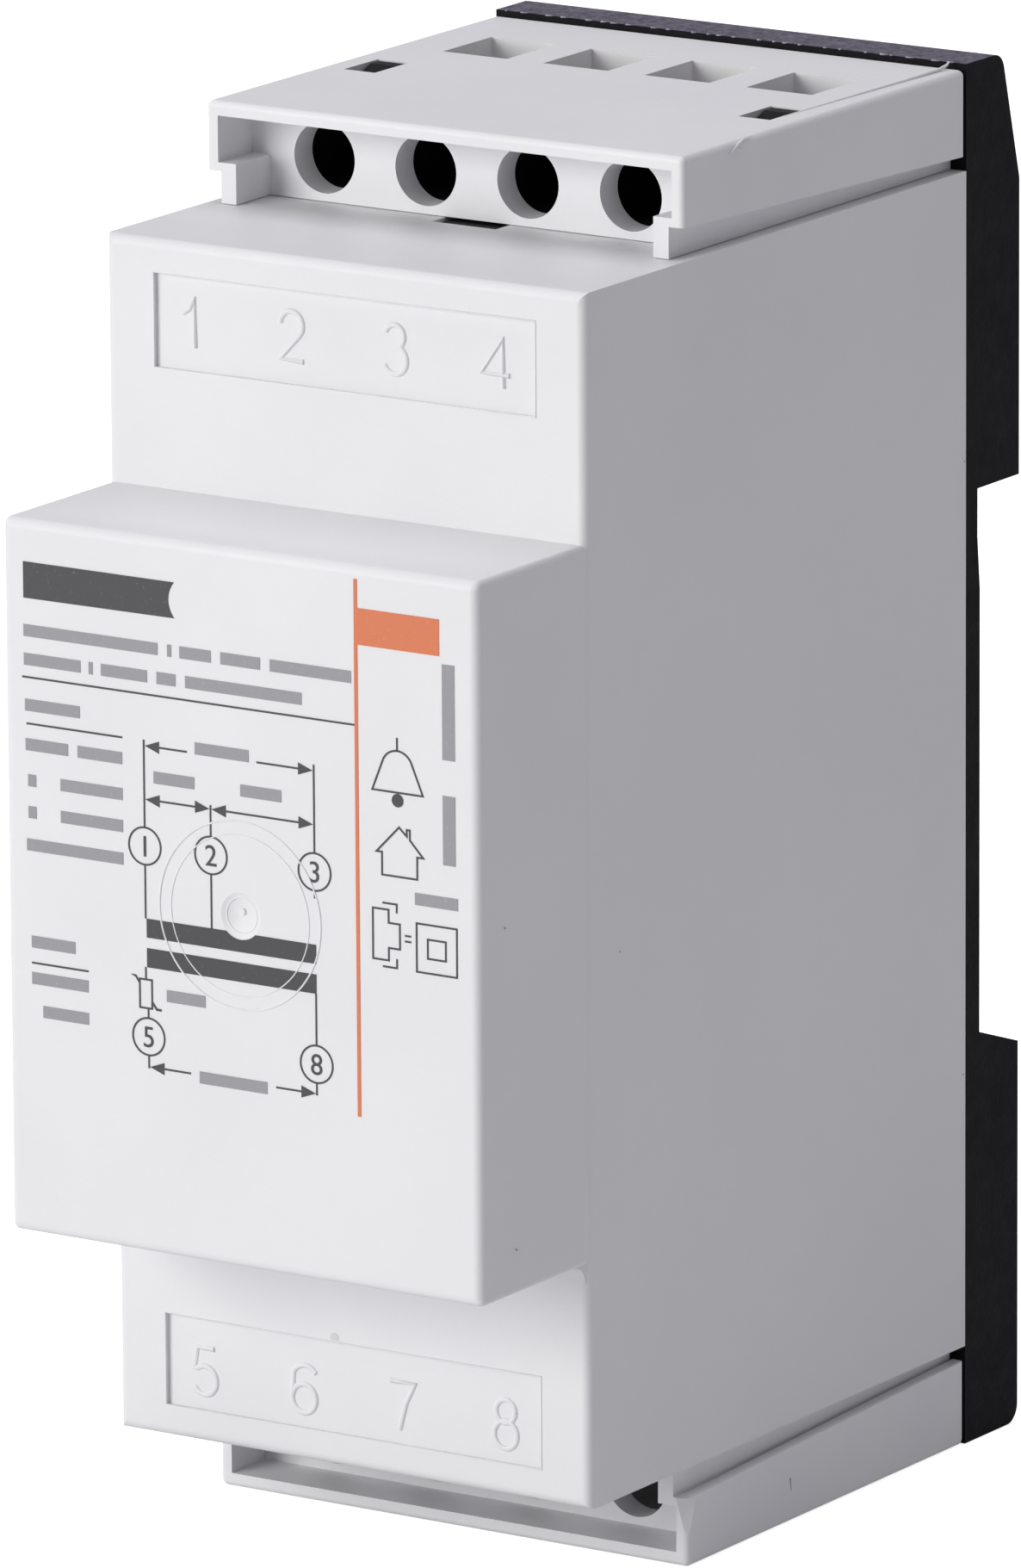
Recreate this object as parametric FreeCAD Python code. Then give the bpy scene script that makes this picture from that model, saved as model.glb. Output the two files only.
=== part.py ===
"""Doorbell transformer for a 35 mm mounting rail: a two-module safety transformer, in millimetres.

Frame: the origin is on the rail's seat, in the middle of the rail. +X is to the right as seen from
the front, the front faces -Y, the rail lies along X behind the seat, and +Z is up.
What the upper half has, the lower half has too, turned over: it is built above and mirrored in Z.
"""
import FreeCAD
import Part
import math
import os

V = FreeCAD.Vector

# Outline of the case
width = 35.0
overall_height = 89.0
nose_height = 45.0
nose_depth = 11.7
nose_side_step = 0.15
step_depth = 11.1
base_plate = 1.7
base_rise = 0.35
wall = 1.4
front_edge_radius = 0.6
shelf_edge_radius = 0.4
case_clearance = 0.2
fit_gap = 0.05

# Rail, hook and foot
rail_height = 35.0
seat_relief_depth = 0.3
seat_relief_height = 3.1
seat_relief_ramp = 3.4
rear_y = 4.7
rear_draft = 2.1
rear_draft_height = 8.3
rear_top_radius = 1.2
rear_bottom_radius = 1.2
foot_slope = 1.6
foot_gap = 0.3
rail_thickness_room = 1.3
hook_lip_reach = 1.8
hook_lip_side_gap = 5.5
base_wall = 1.5
rim_depth = 3.0
rim_wall = 1.1

# Rail latch, a T-shaped slider in the foot
latch_travel = 2.5
latch_reach = 2.1
latch_neck_width = 11.0
latch_flange_width = 14.0
latch_flange_thickness = 1.1
latch_flange_length = 20.0
latch_head_width = 16.0
latch_head_height = 2.0
latch_rear_inset = 0.2
latch_end_inset = 0.3
latch_clearance = 0.15
latch_slot_length = 5.0
latch_slot_height = 0.9

# Number panels and the gate mark
panel_side_edge = 3.55
panel_height = 5.95
panel_edge = 2.05
panel_depth = 0.3
gate_radius = 1.45
gate_drop = 0.3
gate_depth = 0.35

# Terminal covers
cover_plate = 0.9
cover_side_wall = 0.87
cover_side_height = 4.4
cover_side_slope = 1.1
cover_edge_radius = 0.4
cover_foot_thickness = 1.1
cover_foot_inset = 1.1
cover_foot_overlap = 0.55
cover_end_gap = 0.1
cover_lip = 3.8
bore_wall = 2.0
bore_radius = 2.25
bore_roof_gap = 0.5
bore_shelf_gap = 0.55
screwdriver_room = 4.65
funnel_side_wall = 1.35
funnel_size_y = 5.6
funnel_taper = 0.15
funnel_depth = 1.6
funnel_wall = 0.6
funnel_from_base = 9.2
window_size_x = 2.3
window_size_y = 3.8
window_side_gap = 0.93
window_from_base = 18.2
corner_cut = 0.9
corner_cut_height = 3.0

# Hooks of the base that hold the covers
arm_width = 1.4
arm_height = 2.3
arm_plate_gap = 0.2
arm_side_gap = 0.2
arm_window_gap = 0.2
hook_rise = 1.05

# Terminals
terminal_count = 4
terminal_side_room = 2.5
wired_above = (1, 2, 3)
wired_below = (5, 8)
thermistor_terminal = 5
middle_terminal = 2
screw_radius = 1.5
screw_head_clearance = 0.2
screw_head_length = 2.0
screw_slot_width = 0.6
screw_slot_depth = 0.9
screw_chamfer = 0.25
thread_pitch = 0.5
screw_turns = 8
running_clearance = 0.08
clamp_side_gap = 0.4
clamp_height = 3.5
clamp_side = 0.6
clamp_front_plate = 1.2
clamp_rear_plate = 0.8
contact_side_gap = 0.2
contact_thickness = 1.0
contact_front_gap = 0.3
contact_top_gap = 1.0
contact_lead_in = 0.3
contact_length_below = 5.6
tag_width = 2.0
tag_length = 2.4
comb_wall = 1.0
comb_outer_wall = 0.45
comb_outer_gap = 0.4
comb_top_gap = 1.1
comb_front_gap = 0.15
comb_floor = 0.5
comb_partition = 1.5
tongue_width = 4.2
tongue_thickness = 0.9
tongue_drop = 0.15
tongue_lip = 0.6
tongue_lip_height = 0.9
tongue_window_side = 0.25
tongue_window_front = 1.5
tongue_window_gap = 0.1
clamp_parking_gap = 0.3
comb_behind_clamp = 1.0
head_gap = 0.05

# Transformer core, coil former and windings
core_front_gap = 5.3
core_rear_gap = 2.3
core_end_gap = 1.1
core_limb = 16.0
core_yoke = 8.0
coil_build = 7.1
coil_side_gap = 1.0
coil_window_gap = 0.4
former_gap = 0.15
former_wall = 1.0
former_end_gap = 0.2
winding_inset = 0.7
winding_radius = 4.0
wrap_thickness = 0.3
rib_thickness = 1.2
rib_inset = 3.0

# Leads and the thermistor
lead_radius = 0.6
lead_edge_gap = 3.1
lead_from_coil = 8.0
lead_spread = 3.4
ptc_thickness = 2.4
ptc_leg_radius = 0.4
bend_share = 0.45
wire_sides = 8
# Shares of the room between the coil former and the solder tags
lead_rise_share = 0.46
lead_below_tag_share = 0.19
ptc_radius_share = 0.19
ptc_leg_share = 0.06
ptc_coil_gap_share = 0.215
ptc_lead_run_share = 0.1

# Derived places, from the base forward and from the roof down
half_width = width / 2
top_z = overall_height / 2
base_top_z = top_z + base_rise
nose_half = nose_height / 2
inner_x = half_width - wall
side_inner_x = half_width - cover_side_wall
foot_outer_x = half_width - cover_foot_inset
foot_inner_x = foot_outer_x - cover_foot_thickness
plate_z = top_z - cover_plate
screw_z = plate_z - bore_roof_gap - bore_radius
shelf_z = screw_z - bore_radius - bore_shelf_gap
side_bottom_z = top_z - cover_side_height

terminal_pitch = 2 * (half_width - terminal_side_room) / terminal_count
clamp_width = terminal_pitch - comb_wall - 2 * clamp_side_gap
contact_width = clamp_width - 2 * (clamp_side + contact_side_gap)
funnel_size_x = terminal_pitch - 2 * funnel_side_wall
comb_outer_x = terminal_pitch * terminal_count / 2 - comb_outer_gap
window_x = side_inner_x - window_side_gap - window_size_x / 2
screw_head_radius = bore_radius - screw_head_clearance

split_y = -base_plate
window_y = split_y - window_from_base
funnel_y = split_y - funnel_from_base
funnel_front_y = funnel_y - funnel_size_y / 2
contact_rear_y = funnel_front_y
contact_front_y = contact_rear_y - contact_thickness
contact_middle_y = (contact_front_y + contact_rear_y) / 2
clamp_front_inner_y = contact_front_y - contact_front_gap
clamp_front_y = clamp_front_inner_y - clamp_front_plate
clamp_rear_inner_y = funnel_y + funnel_size_y / 2 - funnel_taper
clamp_rear_y = clamp_rear_inner_y + clamp_rear_plate
clamp_travel = thread_pitch * screw_turns
partition_rear_y = clamp_front_y - clamp_travel - clamp_parking_gap
partition_front_y = partition_rear_y - comb_partition
head_rear_y = partition_front_y - head_gap
head_front_y = head_rear_y - screw_head_length
bore_wall_y = head_front_y - screwdriver_room - bore_wall
cover_front_y = bore_wall_y - cover_lip
step_y = cover_front_y - step_depth
nose_y = step_y - nose_depth
comb_rear_y = clamp_rear_y + comb_behind_clamp
comb_front_y = bore_wall_y + bore_wall + comb_front_gap
comb_top_z = plate_z - comb_top_gap
tongue_front_y = bore_wall_y - tongue_window_front + tongue_window_gap
tongue_rear_y = comb_front_y + tongue_thickness
contact_top_z = plate_z - contact_top_gap
tag_top_z = shelf_z - contact_length_below + tag_length
tag_end_z = tag_top_z - tag_length

core_front_y = nose_y + core_front_gap
core_rear_y = split_y - core_rear_gap
core_length = core_rear_y - core_front_y
core_middle_y = (core_front_y + core_rear_y) / 2
core_half_z = nose_half - wall - core_end_gap
core_window_y = (core_length - 2 * core_yoke - core_limb) / 2
window_half_z = core_half_z - core_yoke
former_flange_x = 2 * (inner_x - coil_side_gap)
former_flange_y = core_limb + 2 * (core_window_y - coil_window_gap)
core_stack = former_flange_x - 2 * coil_build
former_hole_x = core_stack + 2 * former_gap
former_hole_y = core_limb + 2 * former_gap
former_tube_x = former_hole_x + 2 * former_wall
former_tube_y = former_hole_y + 2 * former_wall
former_half = window_half_z - former_end_gap
winding_x = former_flange_x - 2 * winding_inset
winding_y = former_flange_y - 2 * winding_inset
lead_x = former_flange_x / 2 - lead_edge_gap
lead_y = core_middle_y + lead_from_coil
lead_room = tag_end_z - former_half
lead_rise = lead_rise_share * lead_room
lead_below_tag = lead_below_tag_share * lead_room
ptc_radius = ptc_radius_share * lead_room
ptc_leg_length = ptc_leg_share * lead_room
ptc_coil_gap = ptc_coil_gap_share * lead_room
ptc_lead_run = ptc_lead_run_share * lead_room


def box(x0, x1, y0, y1, z0, z1):
    """A block between two corners."""
    return Part.makeBox(x1 - x0, y1 - y0, z1 - z0, V(x0, y0, z0))


def block(x_middle, x_size, y0, y1, z0, z1):
    """A block centred on x_middle."""
    return box(x_middle - x_size / 2, x_middle + x_size / 2, y0, y1, z0, z1)


def rod_y(radius, x, z, y0, y1):
    """A cylinder along Y."""
    return Part.makeCylinder(radius, y1 - y0, V(x, y0, z), V(0, 1, 0))


def profile_x(points, x0, x1):
    """A side profile, given as (y, z) corners, drawn out along X."""
    corners = [V(x0, y, z) for y, z in points]
    face = Part.Face(Part.makePolygon(corners + corners[:1]))
    return face.extrude(V(x1 - x0, 0, 0))


def fused(shapes):
    """One solid made from overlapping or touching shapes."""
    return shapes[0].multiFuse(shapes[1:]).removeSplitter()


def upside_down(shape):
    """The same shape on the lower half."""
    return shape.mirror(V(0, 0, 0), V(0, 0, 1))


def both_halves(shapes):
    return shapes + [upside_down(shape) for shape in shapes]


def both_sides(shapes):
    return shapes + [shape.mirror(V(0, 0, 0), V(1, 0, 0)) for shape in shapes]


def edges_where(shape, test):
    """The straight edges whose two ends pass the test."""
    return [edge for edge in shape.Edges if len(edge.Vertexes) == 2
            and all(test(vertex.Point) for vertex in edge.Vertexes)]


def near(a, b):
    return abs(a - b) < 0.001


def upright_edges(shape):
    return [edge for edge in shape.Edges if abs(edge.tangentAt(0).z) > 0.9]


def frustum(x, y, z_low, z_high, low_size, high_size):
    """A tapering rectangular block, for a funnel."""
    wires = []
    for z, (size_x, size_y) in ((z_low, low_size), (z_high, high_size)):
        corners = [V(x + sx * size_x / 2, y + sy * size_y / 2, z)
                   for sx, sy in ((-1, -1), (1, -1), (1, 1), (-1, 1))]
        wires.append(Part.makePolygon(corners + corners[:1]))
    return Part.makeLoft(wires, True)


def terminal_x(number):
    """The middle of a terminal: 1 to 4 above and 5 to 8 below, from left to right."""
    return ((number - 1) % terminal_count - (terminal_count - 1) / 2) * terminal_pitch


def placed(shape, number):
    """A terminal piece built above at x = 0, moved to its numbered place."""
    moved = shape.copy()
    moved.translate(V(terminal_x(number), 0, 0))
    return upside_down(moved) if number > terminal_count else moved


def make_housing():
    """Light grey front moulding: stepped outside, open behind, with ribs that hold the core."""
    body = block(0, width, step_y, split_y, -shelf_z, shelf_z)
    front_corners = edges_where(body, lambda p: near(p.y, step_y))
    body = body.makeFillet(front_edge_radius, front_corners)
    nose = block(0, width - 2 * nose_side_step, nose_y, step_y + wall, -nose_half, nose_half)
    nose = nose.makeFillet(front_edge_radius, edges_where(nose, lambda p: near(p.y, nose_y)))
    nose_side = half_width - nose_side_step
    corners = edges_where(nose, lambda p: near(abs(p.x), nose_side) and not near(p.y, nose_y))
    nose = nose.makeFillet(shelf_edge_radius, [edge for edge in corners if abs(edge.tangentAt(0).y) > 0.9])
    shell = fused([body, nose])
    hollow = fused([
        block(0, 2 * inner_x, step_y + wall, split_y, -shelf_z + wall, shelf_z - wall),
        block(0, 2 * (nose_side - wall), nose_y + wall, step_y + 2 * wall, -nose_half + wall, nose_half - wall),
    ])
    shell = shell.cut(hollow)
    shell = fused([shell] + make_core_ribs())
    return shell.cut(fused_cuts(both_halves(make_shelf_slots() + [make_number_panel()]) + [make_gate_mark()]))


def fused_cuts(shapes):
    return shapes[0].multiFuse(shapes[1:])


def make_core_ribs():
    """Four upright ribs that hold the core's stack from both sides."""
    ribs = []
    for y in (core_front_y + rib_inset, core_rear_y - rib_inset - rib_thickness):
        ribs.append(box(core_stack / 2 + fit_gap, inner_x + wall / 2, y, y + rib_thickness,
                        -nose_half + wall / 2, nose_half - wall / 2))
    return both_sides(ribs)


def make_tongue():
    """The insert's tongue: it passes below the bore wall and snaps under the shelf's window."""
    top = shelf_z - tongue_drop
    bottom = top - tongue_thickness
    under = shelf_z - wall - fit_gap
    floor_top = shelf_z + fit_gap + comb_floor
    leg_rear_y = tongue_front_y + tongue_thickness
    points = [
        (tongue_rear_y, floor_top), (comb_front_y, floor_top), (comb_front_y, top), (tongue_front_y, top),
        (tongue_front_y, under), (tongue_front_y - tongue_lip, under),
        (tongue_front_y, under - tongue_lip_height), (leg_rear_y, under - tongue_lip_height),
        (leg_rear_y, bottom), (tongue_rear_y, bottom),
    ]
    return profile_x(points, -tongue_width / 2, tongue_width / 2)


def make_comb():
    """Black insert on the shelf: walls between the terminals, and a notched partition round the screws."""
    low = shelf_z + fit_gap
    walls = [block(number * terminal_pitch, comb_wall, comb_front_y, comb_rear_y, low, comb_top_z)
             for number in (-1, 0, 1)]
    walls += both_sides([box(comb_outer_x - comb_outer_wall, comb_outer_x, comb_front_y, comb_rear_y,
                             low, comb_top_z)])
    walls.append(block(0, 2 * comb_outer_x, partition_front_y, partition_rear_y, low, comb_top_z))
    walls.append(block(0, 2 * comb_outer_x, comb_front_y, partition_front_y, low, low + comb_floor))
    comb = fused(walls + [make_tongue()])
    neck = screw_radius + running_clearance
    for number in range(1, terminal_count + 1):
        x = terminal_x(number)
        comb = comb.cut(rod_y(neck, x, screw_z, partition_front_y - 1, partition_rear_y + 1))
        comb = comb.cut(block(x, 2 * neck, partition_front_y - 1, partition_rear_y + 1, screw_z, top_z))
    return comb.removeSplitter()


def make_shelf_slots():
    """The contacts' slots through the shelf, and the window for the insert's tongue."""
    low, high = shelf_z - 2 * wall, shelf_z + wall
    slots = [block(terminal_x(number), contact_width + 2 * fit_gap, contact_front_y - fit_gap,
                   contact_rear_y + fit_gap, low, high) for number in range(1, terminal_count + 1)]
    slots.append(block(0, tongue_width + 2 * tongue_window_side, tongue_front_y - tongue_window_gap,
                       tongue_rear_y + tongue_window_gap, low, high))
    return slots


def make_number_panel():
    """The shallow field that carries the terminal numbers."""
    top = shelf_z - panel_edge
    return block(0, width - 2 * panel_side_edge, step_y - wall, step_y + panel_depth, top - panel_height, top)


def make_gate_mark():
    """The round dimple that the moulding's gate leaves in the label face."""
    ball = (gate_radius ** 2 + gate_depth ** 2) / (2 * gate_depth)
    return Part.makeSphere(ball, V(0, nose_y - ball + gate_depth, -gate_drop))


def make_cover():
    """Terminal cover: roof, joggled side walls, wall with the screwdriver bores, wire funnels and windows."""
    rear = split_y - cover_end_gap
    side_rear_z = side_bottom_z - cover_side_slope
    side = [(cover_front_y, side_bottom_z), (cover_front_y, top_z), (rear, top_z), (rear, side_rear_z)]
    outer = profile_x(side, -half_width, half_width)
    upright = upright_edges(outer)
    outer = outer.makeFillet(cover_edge_radius, upright + edges_where(outer, lambda p: near(p.z, top_z)))
    inside = block(0, 2 * side_inner_x, cover_front_y - 1, rear + 1, side_rear_z - 1, plate_z)
    cover = outer.cut(inside)
    foot_bottom = shelf_z + fit_gap
    foot_top = side_bottom_z + cover_foot_overlap
    foot = fused([
        box(foot_inner_x, foot_outer_x, cover_front_y, rear, foot_bottom, foot_top),
        box(foot_inner_x, half_width - cover_side_wall / 2, cover_front_y, rear, side_bottom_z, foot_top),
    ])
    bore_wall_block = block(0, 2 * side_inner_x, bore_wall_y, bore_wall_y + bore_wall, foot_top, plate_z)
    bore_wall_foot = block(0, 2 * foot_inner_x, bore_wall_y, bore_wall_y + bore_wall, foot_bottom, foot_top)
    cover = fused([cover, bore_wall_block, bore_wall_foot] + both_sides([foot]))
    for number in range(1, terminal_count + 1):
        x = terminal_x(number)
        rim_x = funnel_size_x + 2 * funnel_wall
        rim_y = funnel_size_y + 2 * funnel_wall
        low = top_z - funnel_depth
        cover = cover.fuse(block(x, rim_x, funnel_y - rim_y / 2, funnel_y + rim_y / 2, low, plate_z))
        mouth = (funnel_size_x, funnel_size_y)
        throat = (funnel_size_x - 2 * funnel_taper, funnel_size_y - 2 * funnel_taper)
        cover = cover.cut(frustum(x, funnel_y, low, top_z, throat, mouth))
        cover = cover.cut(rod_y(bore_radius, x, screw_z, bore_wall_y - 1, bore_wall_y + bore_wall + 1))
    for side in (-1, 1):
        cover = cover.cut(block(side * window_x, window_size_x, window_y - window_size_y / 2,
                                window_y + window_size_y / 2, plate_z - 1, top_z + 1))
    return cover.removeSplitter()


def make_lower_cover():
    """The lower cover is the same moulding turned over, with one front corner of a side wall cut away."""
    x, y, z = half_width, cover_front_y, -side_bottom_z
    points = [V(x, y, z), V(x - corner_cut, y, z), V(x, y + corner_cut, z), V(x, y, z - corner_cut_height)]
    faces = [Part.Face(Part.makePolygon([points[i] for i in corners + corners[:1]]))
             for corners in ((0, 1, 2), (0, 1, 3), (0, 2, 3), (1, 2, 3))]
    return upside_down(make_cover()).cut(Part.makeSolid(Part.makeShell(faces)))


def base_profile():
    """The black base seen from the side: hook block above the rail, foot below it."""
    rail_half = rail_height / 2
    return [
        (split_y, base_top_z),
        (rear_y - rear_draft, base_top_z),
        (rear_y, base_top_z - rear_draft_height),
        (rear_y, rail_half),
        (-seat_relief_depth, rail_half),
        (-seat_relief_depth, rail_half - seat_relief_height),
        (0, rail_half - seat_relief_height - seat_relief_ramp),
        (0, -rail_half - foot_gap),
        (rear_y, -rail_half - foot_gap - foot_slope),
        (rear_y, -top_z),
        (split_y, -top_z),
    ]


def make_base():
    """Black rear moulding: closes the case, seats on the rail and carries the hooks for the covers."""
    base = profile_x(base_profile(), -half_width, half_width)
    base = base.makeFillet(rear_top_radius, edges_where(
        base, lambda p: near(p.z, base_top_z) and near(p.y, rear_y - rear_draft)))
    base = base.makeFillet(rear_bottom_radius, edges_where(
        base, lambda p: near(p.z, -top_z) and near(p.y, rear_y)))
    rail_half = rail_height / 2
    pocket_rear_y = rear_y - base_wall - rear_draft
    hook_pocket = box(-half_width + base_wall, half_width - base_wall, split_y - 1, pocket_rear_y,
                      rail_half + base_wall, top_z - base_wall)
    guide_x = latch_head_width / 2 + latch_clearance + base_wall
    foot_top = -rail_half - foot_gap - foot_slope - base_wall
    foot_pocket = box(guide_x, half_width - base_wall, split_y - 1, rear_y - base_wall,
                      -top_z + base_wall, foot_top)
    base = base.cut(hook_pocket)
    for pocket in both_sides([foot_pocket]):
        base = base.cut(pocket)
    base = fused([base, make_hook_lip()] + make_rim() + both_halves(both_sides([make_cover_hook()])))
    return base.cut(make_latch_slot())


def make_hook_lip():
    """The fixed lip that reaches behind the rail's upper edge."""
    rail_half = rail_height / 2
    points = [
        (rail_thickness_room, rail_half + base_wall / 2),
        (rail_thickness_room, rail_half - hook_lip_reach + 0.4),
        (rail_thickness_room + 0.4, rail_half - hook_lip_reach),
        (rear_y - 1.0, rail_half - hook_lip_reach),
        (rear_y, rail_half - 0.4),
        (rear_y, rail_half + base_wall / 2),
    ]
    return profile_x(points, -half_width + hook_lip_side_gap, half_width - hook_lip_side_gap)


def make_rim():
    """The low rim that locates the base inside the housing."""
    x = inner_x - case_clearance
    z = shelf_z - wall - case_clearance
    low, high = split_y - rim_depth, split_y + base_wall / 2
    return both_halves([block(0, 2 * x, low, high, z - rim_wall, z)]) + both_sides([
        box(x - rim_wall, x, low, high, -z, z)])


def make_cover_hook():
    """One arm of the base: it lies beside the terminals and rises into the cover's window."""
    outer_x = side_inner_x - arm_side_gap
    high = plate_z - arm_plate_gap
    nose_front = window_y - window_size_y / 2 + arm_window_gap
    nose_rear = window_y + window_size_y / 2 - arm_window_gap
    arm = box(outer_x - arm_width, outer_x, nose_front, split_y + base_wall / 2, high - arm_height, high)
    nose = profile_x([
        (nose_front, high - 0.6),
        (nose_front, high + 0.1),
        (nose_rear - 0.9, high + hook_rise),
        (nose_rear, high + hook_rise),
        (nose_rear, high - 0.6),
    ], window_x - window_size_x / 2 + arm_window_gap, window_x + window_size_x / 2 - arm_window_gap)
    return fused([arm, nose])


def latch_places():
    """The latch's levels along Z and Y, shared by the slider and its slot."""
    top = -rail_height / 2 + latch_reach
    flange_low = top - latch_flange_length
    end = -top_z + latch_end_inset
    flange_front = rail_thickness_room
    neck_front = flange_front + latch_flange_thickness
    rear = rear_y - latch_rear_inset
    return top, flange_low, end, flange_front, neck_front, rear


def make_rail_latch():
    """The slider that locks behind the rail's lower edge, with a screwdriver slot in its head."""
    top, flange_low, end, flange_front, neck_front, rear = latch_places()
    flange = block(0, latch_flange_width, flange_front, neck_front, flange_low, top)
    neck = block(0, latch_neck_width, flange_front, rear, end, top)
    head = block(0, latch_head_width, neck_front + latch_clearance, rear, end, end + latch_head_height)
    latch = fused([flange, neck, head])
    latch = latch.makeChamfer(0.9, edges_where(latch, lambda p: near(p.z, top) and near(p.y, rear)))
    slot_z = end + latch_head_height / 2
    return latch.cut(block(0, latch_slot_length, flange_front - 1, rear + 1,
                           slot_z - latch_slot_height / 2, slot_z + latch_slot_height / 2))


def make_latch_slot():
    """The slider's T slot: open above into the rail's room, behind, and below for the head."""
    top, flange_low, end, flange_front, neck_front, rear = latch_places()
    c = latch_clearance
    below = -top_z - 1
    return fused([
        block(0, latch_flange_width + 2 * c, flange_front - c, neck_front + c,
              flange_low - latch_travel - c, top + 1),
        block(0, latch_neck_width + 2 * c, flange_front - c, rear_y + 1, below, top + 1),
        block(0, latch_head_width + 2 * c, neck_front, rear_y + 1, below, end + latch_head_height + c),
    ])


def make_contact():
    """A brass bar that stands inside the clamp and ends in a solder tag below the shelf."""
    low = tag_top_z
    bar = block(0, contact_width, contact_front_y, contact_rear_y, low, contact_top_z)
    lead_in = edges_where(bar, lambda p: near(p.z, contact_top_z) and near(p.y, contact_rear_y))
    bar = bar.makeChamfer(contact_lead_in, lead_in)
    tag = block(0, tag_width, contact_front_y, contact_rear_y, low - tag_length, low)
    return fused([bar, tag])


def make_clamp():
    """A square steel cage: the screw draws it forward and its rear plate grips the wire."""
    low, high = screw_z - clamp_height / 2, screw_z + clamp_height / 2
    cage = block(0, clamp_width, clamp_front_y, clamp_rear_y, low, high)
    cage = cage.makeChamfer(clamp_side, upright_edges(cage))
    inner_width = clamp_width - 2 * clamp_side
    cage = cage.cut(block(0, inner_width, clamp_front_inner_y, clamp_rear_inner_y, low - 1, high + 1))
    hole_radius = screw_radius + running_clearance
    return cage.cut(rod_y(hole_radius, 0, screw_z, clamp_front_y - 1, clamp_front_inner_y + 1))


def make_screw():
    """A slotted cheese-head screw that turns in the partition without moving along."""
    head = rod_y(screw_head_radius, 0, screw_z, head_front_y, head_rear_y)
    rim = [edge for edge in head.Edges if near(edge.CenterOfMass.y, head_front_y)]
    head = head.makeChamfer(screw_chamfer, rim)
    shank = rod_y(screw_radius, 0, screw_z, head_rear_y, contact_front_y - fit_gap)
    slot = block(0, screw_slot_width, head_front_y - 1, head_front_y + screw_slot_depth,
                 screw_z - screw_head_radius - 1, screw_z + screw_head_radius + 1)
    return fused([head, shank]).cut(slot)


def make_core_e():
    """The stack of E laminations: yoke below, three limbs up."""
    low, high = -core_half_z, core_half_z - core_yoke
    e = box(-core_stack / 2, core_stack / 2, core_front_y, core_rear_y, low, high)
    for y0 in (core_front_y + core_yoke, core_rear_y - core_yoke - core_window_y):
        e = e.cut(box(-core_stack, core_stack, y0, y0 + core_window_y, low + core_yoke, high + 1))
    return e


def make_core_i():
    """The stack of I laminations that closes the E."""
    return box(-core_stack / 2, core_stack / 2, core_front_y, core_rear_y, core_half_z - core_yoke, core_half_z)


def ring(size_x, size_y, hole_x, hole_y, z0, z1, radius=0.0):
    """A rectangular ring round the core's middle limb."""
    y = core_middle_y
    outer = block(0, size_x, y - size_y / 2, y + size_y / 2, z0, z1)
    if radius > 0:
        outer = outer.makeFillet(radius, upright_edges(outer))
    return outer.cut(block(0, hole_x, y - hole_y / 2, y + hole_y / 2, z0 - 1, z1 + 1))


def make_coil_former():
    """A former with two separate chambers, one winding in each."""
    flange = (former_flange_x, former_flange_y, former_hole_x, former_hole_y)
    return fused([
        ring(former_tube_x, former_tube_y, former_hole_x, former_hole_y, -former_half, former_half),
        ring(*flange, -former_half, -former_half + former_wall, 1.0),
        ring(*flange, -former_wall / 2, former_wall / 2, 1.0),
        ring(*flange, former_half - former_wall, former_half, 1.0),
    ])


def make_winding():
    """The winding in the upper chamber."""
    z0, z1 = former_wall / 2, former_half - former_wall
    return ring(winding_x, winding_y, former_tube_x, former_tube_y, z0, z1, winding_radius)


def make_winding_wrap():
    """The insulating tape round the upper winding."""
    y = core_middle_y
    z0, z1 = former_wall / 2, former_half - former_wall
    t = wrap_thickness
    outer = block(0, winding_x + 2 * t, y - winding_y / 2 - t, y + winding_y / 2 + t, z0, z1)
    outer = outer.makeFillet(winding_radius + t, upright_edges(outer))
    inner = block(0, winding_x, y - winding_y / 2, y + winding_y / 2, z0, z1)
    inner = inner.makeFillet(winding_radius, upright_edges(inner))
    return outer.cut(inner)


def wire_section(place, direction, radius):
    """The cross-section of a wire, drawn with a few flat sides."""
    step = 2 * math.pi / wire_sides
    outline = [V(radius * math.cos(step * i), radius * math.sin(step * i), 0) for i in range(wire_sides)]
    section = Part.Face(Part.makePolygon(outline + outline[:1]))
    section.Placement = FreeCAD.Placement(place, FreeCAD.Rotation(V(0, 0, 1), direction))
    return section


def wire_along(points, radius):
    """A wire: straight runs joined by tangent arcs, as large as the runs allow."""
    start = points[0]
    section = wire_section(start, points[1] - start, radius)
    pieces = []
    for before, corner, after in zip(points, points[1:], points[2:]):
        into = (corner - before).normalize()
        out = (after - corner).normalize()
        trim = bend_share * min((corner - before).Length, (after - corner).Length)
        run = corner - into * trim - start
        pieces.append(section.extrude(run))
        section.translate(run)
        turn = into.getAngle(out)
        inward = (out - into * into.dot(out)).normalize()
        centre = start + run + inward * (trim / math.tan(turn / 2))
        axis = into.cross(out).normalize()
        pieces.append(section.revolve(centre, axis, math.degrees(turn)))
        section.rotate(centre, axis, math.degrees(turn))
        start = corner + out * trim
    pieces.append(section.extrude(points[-1] - start))
    return fused(pieces)


def lead_start(number):
    """Where a lead leaves the coil former: beside the core, on its own side."""
    side = -1 if terminal_x(number) < 0 else 1
    offset = lead_spread if number == middle_terminal else 0.0
    return V(side * lead_x, lead_y - offset, former_half)


def make_lead(number):
    """A lead from the coil former to the solder tag of a terminal, built above."""
    start = lead_start(number)
    x = terminal_x(number)
    points = [
        start,
        start + V(0, 0, lead_rise),
        V(x, contact_middle_y, tag_end_z - lead_below_tag),
        V(x, contact_middle_y, tag_end_z),
    ]
    lead = wire_along(points, lead_radius)
    return upside_down(lead) if number > terminal_count else lead


def thermistor_z():
    return -former_half - ptc_coil_gap - ptc_leg_length - ptc_radius


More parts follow.
